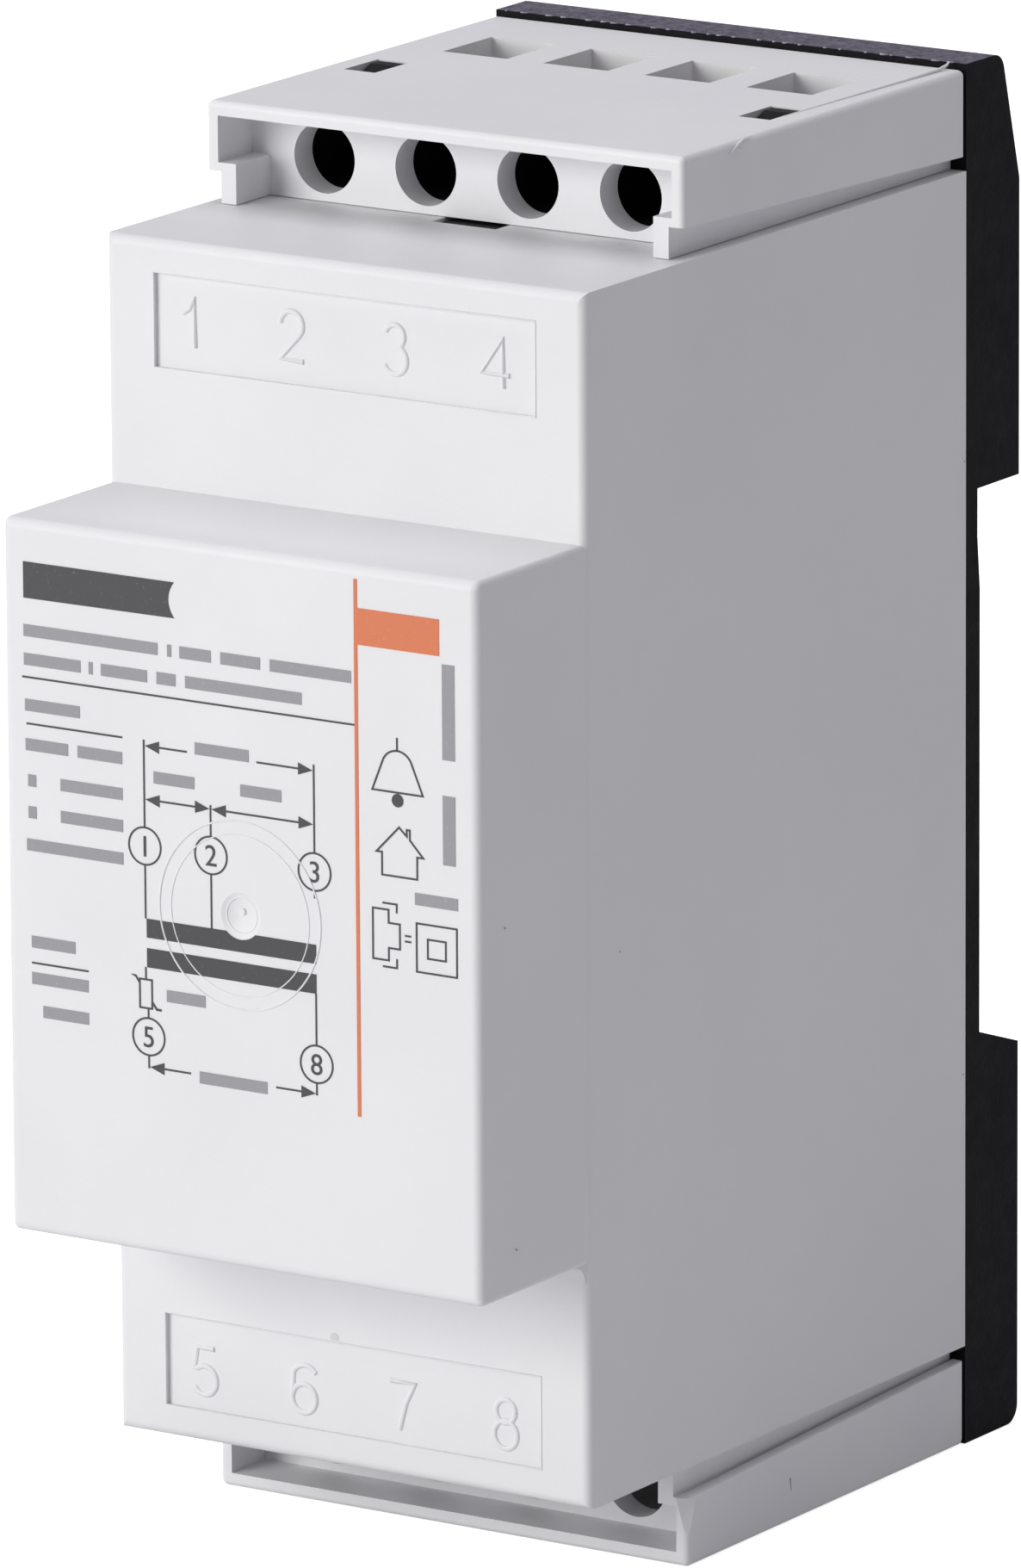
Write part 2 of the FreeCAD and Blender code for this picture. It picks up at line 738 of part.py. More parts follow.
def make_thermistor():
    """The self-resetting thermal cut-out: a coated disc with a stub of leg at each end."""
    x, z = terminal_x(thermistor_terminal), thermistor_z()
    disc = Part.makeCylinder(ptc_radius, ptc_thickness, V(x - ptc_thickness / 2, lead_y, z), V(1, 0, 0))
    legs = [Part.makeCylinder(ptc_leg_radius, ptc_radius / 2 + ptc_leg_length,
                              V(x, lead_y, z + direction * ptc_radius / 2), V(0, 0, direction))
            for direction in (-1, 1)]
    return fused([disc] + legs)


def make_primary_link():
    """The short lead from the coil former to the thermistor."""
    start = V(terminal_x(thermistor_terminal), lead_y, -former_half)
    return wire_along([start, start + V(0, 0, -ptc_coil_gap)], lead_radius)


def make_thermistor_lead():
    """The lead from the thermistor to the tag of its terminal."""
    x = terminal_x(thermistor_terminal)
    leg_end = thermistor_z() - ptc_radius - ptc_leg_length
    points = [
        V(x, lead_y, leg_end),
        V(x, lead_y, leg_end - ptc_lead_run),
        V(x, contact_middle_y, -tag_end_z + ptc_lead_run),
        V(x, contact_middle_y, -tag_end_z),
    ]
    return wire_along(points, lead_radius)


def nodes():
    """Every piece by name."""
    pieces = {
        "housing": make_housing(),
        "base": make_base(),
        "top_terminal_comb": make_comb(),
        "bottom_terminal_comb": upside_down(make_comb()),
        "top_terminal_cover": make_cover(),
        "bottom_terminal_cover": make_lower_cover(),
        "rail_latch": make_rail_latch(),
        "core_e_stack": make_core_e(),
        "core_i_stack": make_core_i(),
        "coil_former": make_coil_former(),
        "secondary_winding": make_winding(),
        "primary_winding": upside_down(make_winding()),
        "secondary_insulation": make_winding_wrap(),
        "primary_insulation": upside_down(make_winding_wrap()),
        "thermistor": make_thermistor(),
        "primary_link": make_primary_link(),
        "thermistor_lead": make_thermistor_lead(),
    }
    for number in wired_above + wired_below:
        pieces["terminal_contact_%d" % number] = placed(make_contact(), number)
        pieces["terminal_clamp_%d" % number] = placed(make_clamp(), number)
        pieces["terminal_screw_%d" % number] = placed(make_screw(), number)
        if number != thermistor_terminal:
            pieces["lead_%d" % number] = make_lead(number)
    return pieces


def main():
    os.makedirs("parts", exist_ok=True)
    for name, shape in nodes().items():
        solids = shape.Solids
        print(name, "solids", len(solids), "volume %.1f" % shape.Volume, "valid", shape.isValid())
        shape.exportStep("parts/%s.step" % name)


main()
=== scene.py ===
import math

import bpy
from mathutils import Euler, Matrix, Vector


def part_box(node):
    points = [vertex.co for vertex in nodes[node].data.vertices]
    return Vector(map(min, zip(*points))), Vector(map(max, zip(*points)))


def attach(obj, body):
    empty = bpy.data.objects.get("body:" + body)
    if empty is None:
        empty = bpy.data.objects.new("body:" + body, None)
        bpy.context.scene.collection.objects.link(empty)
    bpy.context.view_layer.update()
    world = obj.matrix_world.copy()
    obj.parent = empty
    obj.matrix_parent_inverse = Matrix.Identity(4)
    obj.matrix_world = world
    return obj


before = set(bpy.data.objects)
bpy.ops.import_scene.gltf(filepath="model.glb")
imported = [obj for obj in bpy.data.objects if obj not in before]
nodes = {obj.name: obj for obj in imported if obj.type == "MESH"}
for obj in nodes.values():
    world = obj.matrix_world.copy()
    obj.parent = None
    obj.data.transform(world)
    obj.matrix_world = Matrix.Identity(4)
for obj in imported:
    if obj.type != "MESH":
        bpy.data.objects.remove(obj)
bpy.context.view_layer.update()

MM = 0.001

# Faces that the pieces below stand on, in millimetres, from the boxes of the CAD nodes
label_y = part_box("housing")[0].y / MM
half_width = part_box("housing")[1].x / MM
shelf_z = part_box("housing")[1].z / MM
roof_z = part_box("top_terminal_cover")[1].z / MM
lowest_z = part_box("bottom_terminal_cover")[0].z / MM
base_top_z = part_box("base")[1].z / MM
# Faces inside those boxes: the terminal fronts, the floors of the number panels sunk in them, the nose's
# top and underside, and the seam between the grey case and the black base
terminal_front_y = -45.6
panel_floor_y = -45.3
nose_half_height = 22.5
seam_y = -1.7
# The Mix node's sockets for colours
MIX_A = 6
MIX_B = 7
MIXED = 2


def tone(code):
    """An sRGB hex colour as linear light."""
    parts = [int(code[i:i + 2], 16) / 255 for i in (1, 3, 5)]
    return tuple(p / 12.92 if p <= 0.04045 else ((p + 0.055) / 1.055) ** 2.4 for p in parts) + (1.0,)


def node(tree, kind, values=None, links=None, **settings):
    """Adds a node: settings are its properties, values its own sockets, and links what feeds the others.

    A link comes from a socket, or from a node whose first socket is meant.
    """
    made = tree.nodes.new(kind)
    for key, value in settings.items():
        setattr(made, key, value)
    for key, value in (values or {}).items():
        made.inputs[key].default_value = value
    for key, source in (links or {}).items():
        tree.links.new(getattr(source, "outputs", [source])[0], made.inputs[key])
    return made


def new_material(name):
    """A material with no nodes yet, and its tree."""
    material = bpy.data.materials.new(name)
    material.use_nodes = True
    material.node_tree.nodes.clear()
    return material, material.node_tree


def scale_of(size_mm):
    """The noise scale whose blotches are about size_mm across."""
    return 1.0 / (size_mm * MM)


def moulded(name, colour, shade, grain_mm, grain_depth_mm, roughness, flow_mm=14.0, level=0.5, dust_and_sheen=None):
    """Injection-moulded plastic: a spark-eroded grain, and slow clouds from the melt's flow.

    Where its pale colour is given, it lies in patches on the top faces behind the covers: partly dust, and
    partly a painted sheen that lightens the faces which look up.
    """
    material, tree = new_material(name)
    place = node(tree, "ShaderNodeTexCoord").outputs["Object"]
    flow = node(tree, "ShaderNodeTexNoise", {"Scale": scale_of(flow_mm), "Detail": 2.0, "Roughness": 0.55},
                {"Vector": place})
    clouds = node(tree, "ShaderNodeMapRange", {"From Min": 0.35, "From Max": 0.65}, {"Value": flow})
    body = node(tree, "ShaderNodeMix", {MIX_A: tone(colour), MIX_B: tone(shade)}, {"Factor": clouds},
                data_type="RGBA").outputs[MIXED]
    if dust_and_sheen:
        # Faces that look up get the pale colour: partly dust, partly painted sheen of the light from above
        normal = node(tree, "ShaderNodeNewGeometry").outputs["Normal"]
        facing = node(tree, "ShaderNodeSeparateXYZ", links={"Vector": normal}).outputs["Z"]
        upward = node(tree, "ShaderNodeMapRange", {"From Min": 0.3, "From Max": 0.95}, {"Value": facing})
        # Behind the covers, over a soft strip of half a millimetre
        depth = node(tree, "ShaderNodeSeparateXYZ", links={"Vector": place}).outputs["Y"]
        behind = node(tree, "ShaderNodeMapRange", {"From Min": -3.0 * MM, "From Max": -2.5 * MM},
                      {"Value": depth})
        specks = node(tree, "ShaderNodeTexNoise", {"Scale": scale_of(0.5), "Detail": 6.0, "Roughness": 0.8},
                      {"Vector": place})
        patches = node(tree, "ShaderNodeMapRange", {"From Min": 0.38, "From Max": 0.62, "To Min": 0.25},
                       {"Value": specks})
        settled = node(tree, "ShaderNodeMath", links={0: upward, 1: patches}, operation="MULTIPLY")
        dust_and_sheen_mask = node(tree, "ShaderNodeMath", links={0: settled, 1: behind}, operation="MULTIPLY")
        body = node(tree, "ShaderNodeMix", {MIX_B: tone(dust_and_sheen)}, {"Factor": dust_and_sheen_mask, MIX_A: body},
                    data_type="RGBA").outputs[MIXED]
    grain = node(tree, "ShaderNodeTexNoise",
                 {"Scale": scale_of(grain_mm), "Detail": 2.0, "Roughness": 0.55}, {"Vector": place})
    bump = node(tree, "ShaderNodeBump", {"Strength": 1.0, "Distance": grain_depth_mm * MM},
                {"Height": grain})
    wear = node(tree, "ShaderNodeTexNoise",
                {"Scale": scale_of(grain_mm * 4), "Detail": 3.0, "Roughness": 0.55}, {"Vector": place})
    gloss = node(tree, "ShaderNodeMapRange",
                 {"From Min": 0.3, "From Max": 0.7, "To Min": roughness - 0.06, "To Max": roughness + 0.06},
                 {"Value": wear})
    skin = node(tree, "ShaderNodeBsdfPrincipled", {"IOR": 1.5, "Specular IOR Level": level},
                {"Base Color": body, "Roughness": gloss, "Normal": bump})
    node(tree, "ShaderNodeOutputMaterial", links={"Surface": skin})
    return material


def plated(name, colour, tint, roughness, blotch_mm):
    """Metal sheet or bar, bright, a little uneven in tint and gloss."""
    material, tree = new_material(name)
    place = node(tree, "ShaderNodeTexCoord").outputs["Object"]
    blotches = node(tree, "ShaderNodeTexNoise",
                    {"Scale": scale_of(blotch_mm), "Detail": 5.0, "Roughness": 0.6}, {"Vector": place})
    uneven = node(tree, "ShaderNodeMapRange", {"From Min": 0.3, "From Max": 0.7}, {"Value": blotches})
    body = node(tree, "ShaderNodeMix", {MIX_A: tone(colour), MIX_B: tone(tint)}, {"Factor": uneven},
                data_type="RGBA").outputs[MIXED]
    wear = node(tree, "ShaderNodeTexNoise",
                {"Scale": scale_of(blotch_mm / 4), "Detail": 4.0, "Roughness": 0.55}, {"Vector": place})
    gloss = node(tree, "ShaderNodeMapRange",
                 {"From Min": 0.3, "From Max": 0.7, "To Min": roughness - 0.07, "To Max": roughness + 0.08},
                 {"Value": wear})
    grain = node(tree, "ShaderNodeTexNoise", {"Scale": scale_of(0.12), "Detail": 2.0, "Roughness": 0.55},
                 {"Vector": place})
    bump = node(tree, "ShaderNodeBump", {"Strength": 1.0, "Distance": 0.004 * MM}, {"Height": grain})
    skin = node(tree, "ShaderNodeBsdfPrincipled", {"Metallic": 1.0},
                {"Base Color": body, "Roughness": gloss, "Normal": bump})
    node(tree, "ShaderNodeOutputMaterial", links={"Surface": skin})
    return material


def striped(name, colour, groove, pitch_mm, axis, depth_mm, roughness, metallic=0.0, coat=0.0):
    """Layers or turns that lie side by side along one axis: plates of a core, wire on a bobbin."""
    material, tree = new_material(name)
    place = node(tree, "ShaderNodeTexCoord").outputs["Object"]
    along = node(tree, "ShaderNodeSeparateXYZ", links={"Vector": place}).outputs[axis]
    turns = node(tree, "ShaderNodeMath", {1: 2 * math.pi / (pitch_mm * MM)}, {0: along},
                 operation="MULTIPLY")
    wave = node(tree, "ShaderNodeMath", links={0: turns}, operation="SINE")
    ridge = node(tree, "ShaderNodeMapRange", {"From Min": -1.0, "From Max": 0.2}, {"Value": wave})
    patches = node(tree, "ShaderNodeTexNoise", {"Scale": scale_of(3.0), "Detail": 3.0, "Roughness": 0.55},
                   {"Vector": place})
    uneven = node(tree, "ShaderNodeMapRange", {"From Min": 0.3, "From Max": 0.7, "To Min": 0.75},
                  {"Value": patches})
    high = node(tree, "ShaderNodeMath", links={0: ridge, 1: uneven}, operation="MULTIPLY")
    # Where the wave is low the groove colour shows: for a core, the dark joints of its plates; for a
    # winding, painted shade in the valleys between turns; for tape, the edges of its laps
    body = node(tree, "ShaderNodeMix", {MIX_A: tone(groove), MIX_B: tone(colour)}, {"Factor": high},
                data_type="RGBA").outputs[MIXED]
    bump = node(tree, "ShaderNodeBump", {"Strength": 1.0, "Distance": depth_mm * MM}, {"Height": ridge})
    skin = node(tree, "ShaderNodeBsdfPrincipled",
                {"Metallic": metallic, "Roughness": roughness, "Coat Weight": coat, "Coat Roughness": 0.15},
                {"Base Color": body, "Normal": bump})
    node(tree, "ShaderNodeOutputMaterial", links={"Surface": skin})
    return material


def ink(name, colour, worn):
    """Pad-printed ink: a thin even film, a little open where the plastic's grain is high."""
    material, tree = new_material(name)
    place = node(tree, "ShaderNodeTexCoord").outputs["Object"]
    grain = node(tree, "ShaderNodeTexNoise", {"Scale": scale_of(0.25), "Detail": 3.0, "Roughness": 0.6},
                 {"Vector": place})
    open_spots = node(tree, "ShaderNodeMapRange", {"From Min": 0.62, "From Max": 0.75, "To Max": 0.5},
                      {"Value": grain})
    body = node(tree, "ShaderNodeMix", {MIX_A: tone(colour), MIX_B: tone(worn)}, {"Factor": open_spots},
                data_type="RGBA").outputs[MIXED]
    film = node(tree, "ShaderNodeTexNoise", {"Scale": scale_of(0.2), "Detail": 2.0, "Roughness": 0.55},
                {"Vector": place})
    bump = node(tree, "ShaderNodeBump", {"Strength": 1.0, "Distance": 0.004 * MM}, {"Height": film})
    skin = node(tree, "ShaderNodeBsdfPrincipled", {"Roughness": 0.5, "IOR": 1.5},
                {"Base Color": body, "Normal": bump})
    node(tree, "ShaderNodeOutputMaterial", links={"Surface": skin})
    return material


# Light grey ABS, moulded against a fine spark-eroded tool: matt, even, a soft grain in grazing light
grey_abs = moulded("light_grey_abs_moulded", "#E9E9EA", "#E6E6E8",
                   grain_mm=0.22, grain_depth_mm=0.010, roughness=0.52)
# The covers' ABS is from another tool: the same grey, a trace smoother
cover_abs = moulded("light_grey_abs_cover", "#E9E9EB", "#E6E6E9",
                    grain_mm=0.20, grain_depth_mm=0.007, roughness=0.48)
# Black glass-filled polyamide, coarse spark-eroded grain: near black from the side; on top, hazed with dust
# and a painted lavender sheen
black_pa = moulded("black_polyamide_moulded", "#0E0E11", "#131216",
                   grain_mm=0.30, grain_depth_mm=0.030, roughness=0.62, flow_mm=9.0, level=0.10,
                   dust_and_sheen="#757080")
# The latch's polyamide rubs on the base: a trace paler and glossier
latch_pa = moulded("black_polyamide_latch", "#18171B", "#1E1D22",
                   grain_mm=0.26, grain_depth_mm=0.020, roughness=0.50, flow_mm=6.0, level=0.4)
# The same black polyamide, painted a trace darker as shade where no light falls, from a smoother tool
comb_pa = moulded("black_polyamide_comb", "#0B0B0D", "#0E0E11",
                  grain_mm=0.25, grain_depth_mm=0.010, roughness=0.65, flow_mm=9.0, level=0.2)
# Natural polyamide bobbin, moulded smooth: milky, waxy
former_pa = moulded("natural_polyamide_bobbin", "#D9D3C2", "#CFC8B5",
                    grain_mm=0.30, grain_depth_mm=0.006, roughness=0.42)
# Electrical steel, stamped and varnished: the 0.5 mm edges of the plates show as dark lines
lamination = striped("varnished_electrical_steel", "#7B7B80", "#3C3B3E",
                     pitch_mm=0.5, axis="X", depth_mm=0.03, roughness=0.42, metallic=0.85)
# Enamelled copper wire, wound: warm glossy turns 0.35 mm apart, the dark colour between them painted shade
# in the valleys
copper = striped("enamelled_copper_winding", "#B4633A", "#5A2A18",
                 pitch_mm=0.35, axis="Z", depth_mm=0.08, roughness=0.30, metallic=0.9, coat=0.4)
# Polyester tape, wrapped: yellow, glossy, edges of the laps show faintly
tape = striped("polyester_tape_yellow", "#D9B53A", "#C69F2C",
               pitch_mm=4.0, axis="Z", depth_mm=0.02, roughness=0.28, coat=0.5)
# Brass strip, stamped: warm, with faint tarnish
brass = plated("brass_stamped", "#C9A85C", "#BE9C51", roughness=0.30, blotch_mm=2.0)
# Steel, pressed or turned and zinc plated: pale, slightly clouded
clamp_steel = plated("steel_zinc_plated_clamp", "#BDBDB8", "#A9AAA6", roughness=0.32, blotch_mm=1.2)
screw_steel = plated("steel_zinc_plated_screw", "#C6C6C4", "#BBBBBA", roughness=0.30, blotch_mm=1.6)
# Epoxy-dipped thermistor: orange-brown, glossy, slightly lumpy
dipped = moulded("epoxy_dipped_thermistor", "#B5551F", "#A34A18",
                 grain_mm=1.2, grain_depth_mm=0.05, roughness=0.30, flow_mm=4.0)
# PVC lead insulation, extruded: red, satin
pvc = moulded("pvc_insulation_red", "#B02A26", "#A12420",
              grain_mm=0.6, grain_depth_mm=0.01, roughness=0.38, flow_mm=6.0)
# Bare polyamide where the grain is rubbed off: pale, dull
scuff_white = moulded("rubbed_polyamide_scuff", "#C2BFCA", "#A19DAA",
                      grain_mm=0.3, grain_depth_mm=0.01, roughness=0.7, flow_mm=3.0)
# Pad-printing inks: thin, even, a trace worn
dark_ink = ink("pad_print_ink_dark_grey", "#3F3F42", "#6E6E72")
mid_ink = ink("pad_print_ink_mid_grey", "#98989C", "#B4B4B8")
orange_ink = ink("pad_print_ink_orange", "#DA7A50", "#E3A184")
# Dirt rubbed into the grain: a pale grey film
smudge_grey = ink("rubbed_in_dirt", "#D2D2D4", "#DDDDDF")

# The finish of each CAD node, by its name or, for a numbered one, by its name without the number
finish = {
    "housing": grey_abs, "top_terminal_cover": cover_abs, "bottom_terminal_cover": cover_abs,
    "base": black_pa, "top_terminal_comb": comb_pa, "bottom_terminal_comb": comb_pa, "rail_latch": latch_pa,
    "core_e_stack": lamination, "core_i_stack": lamination, "coil_former": former_pa,
    "primary_winding": copper, "secondary_winding": copper,
    "primary_insulation": tape, "secondary_insulation": tape, "thermistor": dipped,
    "terminal_contact": brass, "terminal_clamp": clamp_steel, "terminal_screw": screw_steel,
    "lead": pvc, "primary_link": pvc, "thermistor_lead": pvc,
}
for name, cad_node in nodes.items():
    family = name.rstrip("0123456789").rstrip("_")
    for slot in cad_node.material_slots:
        slot.material = finish[family]


def deselect():
    bpy.ops.object.select_all(action="DESELECT")


def pick(piece):
    deselect()
    piece.select_set(True)
    bpy.context.view_layer.objects.active = piece


# Seams closer than this are closed, and edges that turn by more than this stay sharp
WELD = 0.000002
SHARP = math.radians(50)


def settle(piece, name, material, body="case"):
    """Name a finished piece, close its seams, give it its finish and let it ride on its body."""
    pick(piece)
    piece.name = name
    piece.data.name = name
    bpy.ops.object.transform_apply(location=True, rotation=True, scale=True)
    bpy.ops.object.mode_set(mode="EDIT")
    bpy.ops.mesh.select_all(action="SELECT")
    bpy.ops.mesh.remove_doubles(threshold=WELD)
    bpy.ops.mesh.normals_make_consistent(inside=False)
    bpy.ops.object.mode_set(mode="OBJECT")
    bpy.ops.object.shade_smooth_by_angle(angle=SHARP)
    piece.data.materials.clear()
    piece.data.materials.append(material)
    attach(piece, body)
    return piece


# Printed shapes are outlines in X and Z, in millimetres, on the label face. A film stands proud of the
# face by INK and reaches into it by SINK, and a printed line is LINE wide
LINE = 0.12
INK = 0.03
SINK = 0.01
# Half the height of a grey bar, and an arrow head's length and half its height
ROW_HALF = 0.38
ARROW_LENGTH = 1.05
ARROW_HALF = 0.38


def bar(x0, x1, z0, z1):
    return [(x0, z0), (x1, z0), (x1, z1), (x0, z1)]


def upright(x, z0, z1):
    return bar(x - LINE / 2, x + LINE / 2, z0, z1)


def level(x0, x1, z):
    return bar(x0, x1, z - LINE / 2, z + LINE / 2)


def arc(x, z, radius, start, end, steps):
    """Points round x and z, from start to end in degrees."""
    turns = [math.radians(start + (end - start) / steps * i) for i in range(steps + 1)]
    return [(x + radius * math.cos(turn), z + radius * math.sin(turn)) for turn in turns]


def circle(x, z, radius, steps=40):
    return arc(x, z, radius, 0, 360 - 360 / steps, steps - 1)


def inset(corners, gap):
    """A closed outline moved inward by gap."""
    count = len(corners)
    area = sum(a[0] * b[1] - b[0] * a[1] for a, b in zip(corners, corners[1:] + corners[:1]))
    side = 1 if area > 0 else -1
    inner = []
    for i, (x, z) in enumerate(corners):
        before = Vector((x - corners[i - 1][0], z - corners[i - 1][1])).normalized()
        after = Vector((corners[(i + 1) % count][0] - x, corners[(i + 1) % count][1] - z)).normalized()
        mitre = Vector((-before.y - after.y, before.x + after.x))
        mitre = mitre * (2 / mitre.dot(mitre)) * gap * side
        inner.append((x + mitre.x, z + mitre.y))
    return inner


def drawn(corners):
    """An outline drawn as a line: its border and the hole inside it."""
    return [corners, inset(corners, LINE)]


def arrow(x, z, side, tail):
    """A solid head with its point at x, pointing to side, and a shaft to tail."""
    neck = x - side * ARROW_LENGTH
    head = [(x, z), (neck, z + ARROW_HALF), (neck, z - ARROW_HALF)]
    return [[head], [level(min(neck, tail), max(neck, tail), z)]]


def join(pieces):
    deselect()
    for piece in pieces:
        piece.select_set(True)
    bpy.context.view_layer.objects.active = pieces[0]
    bpy.ops.object.join()
    return bpy.context.view_layer.objects.active


def to_mesh(name, curve):
    """Puts a curve in the scene and makes it a mesh."""
    piece = bpy.data.objects.new(name, curve)
    bpy.context.scene.collection.objects.link(piece)
    pick(piece)
    bpy.ops.object.convert(target="MESH")
    return bpy.context.view_layer.objects.active


def sheet(name, outlines, thickness):
    """A border with its holes as a filled flat curve, with half its thickness to each side."""
    curve = bpy.data.curves.new(name, "CURVE")
    curve.dimensions = "2D"
    curve.fill_mode = "BOTH"
    curve.extrude = thickness / 2 * MM
    for outline in outlines:
        spline = curve.splines.new("POLY")
        spline.points.add(len(outline) - 1)
        spline.use_cyclic_u = True
        for point, (across, along) in zip(spline.points, outline):
            point.co = (across * MM, along * MM, 0.0, 1.0)
    return to_mesh(name, curve)


def stand_up(film, x, z, face_y):
    """Stands a flat film up on a face that looks forward, sunk in by SINK."""
    film.rotation_euler = Euler((math.radians(90), 0, 0))
    film.location = (x * MM, (face_y + (SINK - INK) / 2) * MM, z * MM)


def printed(name, shapes, material, face_y=label_y):
    """Print on a front face, each shape a list of a border and its holes."""
    piece = join([sheet("print", shape, INK + SINK) for shape in shapes])
    stand_up(piece, 0, 0, face_y)
    return settle(piece, name, material)


def strands(name, lines, material):
    """Round strands: for each its points in millimetres, its radius or radii, and whether it closes."""
    curve = bpy.data.curves.new(name, "CURVE")
    curve.dimensions = "3D"
    curve.bevel_depth = MM
    curve.bevel_resolution = 2
    curve.use_fill_caps = True
    for points, radii, closed in lines:
        spline = curve.splines.new("POLY")
        spline.points.add(len(points) - 1)
        spline.use_cyclic_u = closed
        if not isinstance(radii, list):
            radii = [radii] * len(points)
        for point, place, radius in zip(spline.points, points, radii):
            point.co = (place[0] * MM, place[1] * MM, place[2] * MM, 1.0)
            point.radius = radius
    return settle(to_mesh(name, curve), name, material)


# The winding diagram: rules, connections, terminals, arrows and windings
circles = {"1": (-7.0, 3.16), "2": (-2.14, 3.20), "3": (5.43, 3.16),
           "5": (-6.87, -8.81), "8": (5.46, -8.85)}
circle_radius = 1.23
# Top and foot of each winding's bar, and its two ends
bar_top, bar_low = -1.38, -2.57
second_top, second_low = -3.23, -4.44
bar_left, bar_right = -6.93, 5.5
shapes = [[level(-15.94, 8.43, 12.67)], [level(-15.66, -8.58, 9.76)], [level(-15.49, -11.29, -5.29)]]
for number, top, low in (("1", 9.82, bar_top), ("2", 6.34, bar_top), ("3", 9.83, 1.5)):
    x, z = circles[number]
    shapes += [[upright(x, z + circle_radius, top)], [upright(x, low, z - circle_radius)]]
for number, top in (("5", -7.08), ("8", second_low)):
    x, z = circles[number]
    shapes += [[upright(x, z + circle_radius, top)], [upright(x, -10.8, z - circle_radius)]]
shapes.append([upright(-7.03, -5.16, second_low)])
for x, z in circles.values():
    shapes.append([circle(x, z, circle_radius), circle(x, z, circle_radius - LINE)])
shapes += arrow(-6.92, 9.45, -1, -3.83) + arrow(5.35, 9.45, 1, 1.27)
shapes += arrow(-6.92, 6.1, -1, -4.6) + arrow(-2.22, 6.1, 1, -4.6)
shapes += arrow(-2.06, 6.1, -1, 1.6) + arrow(5.35, 6.1, 1, 1.6)
shapes += arrow(-6.79, -10.7, -1, -3.78) + arrow(5.38, -10.7, 1, 2.48)
# The upper winding's bar leaves the dimple free
dimple_z = -0.3
bite = arc(0.0, dimple_z, 1.5, -45, -135, 12)
shapes.append([[(bar_left, bar_top), (bar_left, bar_low), (bar_right, bar_low), (bar_right, bar_top)]
               + bite])
shapes.append([bar(bar_left, bar_right, second_low, second_top)])
# Thermistor sign: a box with a slanting stroke beside it on both sides
shapes.append(drawn(bar(-7.55, -6.53, -7.08, -5.16)))
shapes.append([[(-8.15, -5.0), (-7.82, -5.15), (-7.55, -5.5), (-7.55, -5.28), (-7.75, -5.0)]])
shapes.append([[(-6.53, -6.55), (-6.2, -6.95), (-5.9, -6.95), (-5.9, -7.1), (-6.28, -7.1),
                (-6.53, -6.78)]])
# Banner whose right end is hollowed by an arc
shapes.append([[(-15.77, 17.62)] + arc(-3.40, 18.78, 1.67, 222, 138, 10) + [(-15.77, 19.9)]])
printed("winding_diagram_print", shapes, dark_ink)

# Right-hand signs: bell with its clapper, house, rail profile and double square
bell = [(9.58, 8.8)] + arc(11.48, 10.3, 1.2, 150, 30, 12) + [(13.42, 8.8)]
signs = [drawn(bell), [upright(11.48, 11.45, 12.25)], [circle(11.5, 8.37, 0.42, 24)]]
signs.append(drawn([(9.8, 5.0), (11.58, 6.8), (12.08, 6.36), (12.08, 6.69), (12.42, 6.69), (12.42, 6.04),
                    (13.46, 4.96), (12.94, 4.96), (12.94, 3.59), (10.28, 3.59), (10.28, 5.0)]))
signs += [drawn(bar(12.74, 15.76, -2.13, 1.0)), drawn(bar(13.54, 14.96, -1.22, 0.09))]
signs.append(drawn([(9.58, 1.57), (10.84, 1.57), (10.84, 0.76), (11.65, 0.76), (11.65, -0.92),
                    (10.84, -0.92), (10.84, -1.7), (9.58, -1.7)]))
# Hooked ends of the rail, above and below its profile
for z, end in ((1.97, 1.36), (-2.11, -1.48)):
    turn = LINE if end < z else -LINE
    signs.append([[(10.35, z), (11.43, z), (11.43, end), (11.43 - LINE, end), (11.43 - LINE, z - turn),
                   (10.35, z - turn)]])
signs += [[level(11.95, 12.4, 0.05)], [level(11.95, 12.4, -0.3)]]
printed("sign_print", signs, dark_ink)

# Rows of plain grey bars: the middle of each row, and where its bars start and end
rows = []
for z, runs in ((15.6, ((-15.8, -5.9), (-5.2, -4.9), (-4.3, -2.0), (-1.3, 1.6), (2.3, 8.2))),
                (13.8, ((-15.8, -11.6), (-11.0, -10.7), (-10.1, -6.7), (-6.0, -4.6), (-3.9, 4.6))),
                (10.93, ((-15.76, -11.7),)), (8.45, ((-15.75, -12.6), (-11.9, -8.6))),
                (6.2, ((-15.6, -15.0), (-13.2, -8.6))), (4.2, ((-15.6, -15.0), (-13.2, -8.6))),
                (2.15, ((-15.75, -8.6),)), (9.75, ((-3.25, 0.70),)), (7.55, ((-6.3, -3.3), (0.06, 3.06))),
                (-3.95, ((-15.49, -12.24),)), (-6.25, ((-15.5, -11.3),)), (-8.3, ((-14.7, -11.3),)),
                (-6.05, ((-5.5, -2.65),)), (-10.85, ((-3.14, 1.84),)), (2.45, ((12.7, 15.8),))):
    for x0, x1 in runs:
        rows.append([bar(x0, x1, z - ROW_HALF, z + ROW_HALF)])
# Two bars that stand upright beside the signs
rows += [[bar(14.75, 15.65, 11.3, 17.2)], [bar(14.75, 15.65, 4.8, 9.1)]]
printed("lettering_place_print", rows, mid_ink)
# Orange rule and block
printed("orange_print", [[bar(8.43, 8.68, -11.7, 21.7)], [bar(8.68, 14.57, 17.66, 19.93)]], orange_ink)


